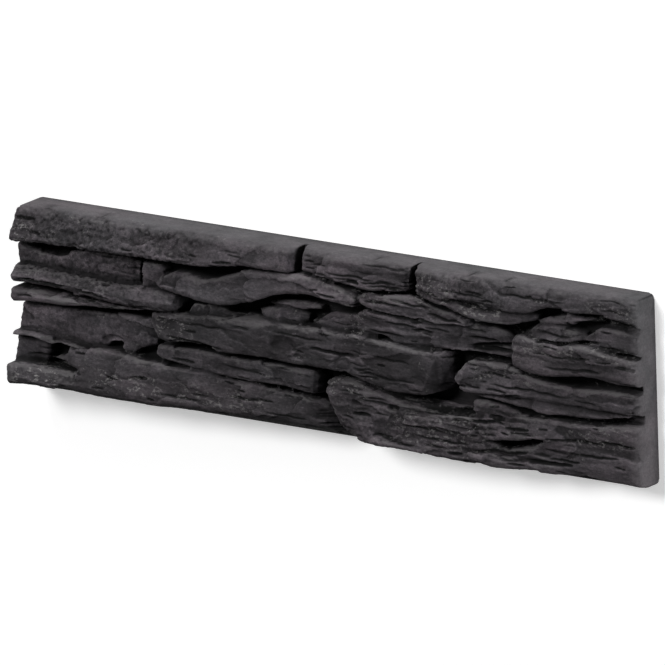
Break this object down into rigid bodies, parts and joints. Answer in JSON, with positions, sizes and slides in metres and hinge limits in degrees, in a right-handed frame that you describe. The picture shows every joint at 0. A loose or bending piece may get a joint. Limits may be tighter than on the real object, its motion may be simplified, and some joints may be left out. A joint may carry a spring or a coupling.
{
  "type": "stone cladding tile",
  "caption": "Cast concrete wall cladding tile whose face imitates dry-stacked slate ledges in deep relief, with a flat back and straight edges that butt against the next tile",
  "frame": {"origin": "centre of the flat back, with the tile lying on its back", "axes": "X runs along the tile's length, Y up its face as hung on a wall, Z out of the wall, so up in the stored pose"},
  "size_m": [0.38, 0.1, 0.032],
  "materials": {
    "concrete": "matte"
  },
  "bodies": {
    "root": {"cladding_tile": "concrete"}
  },
  "joints": []
}
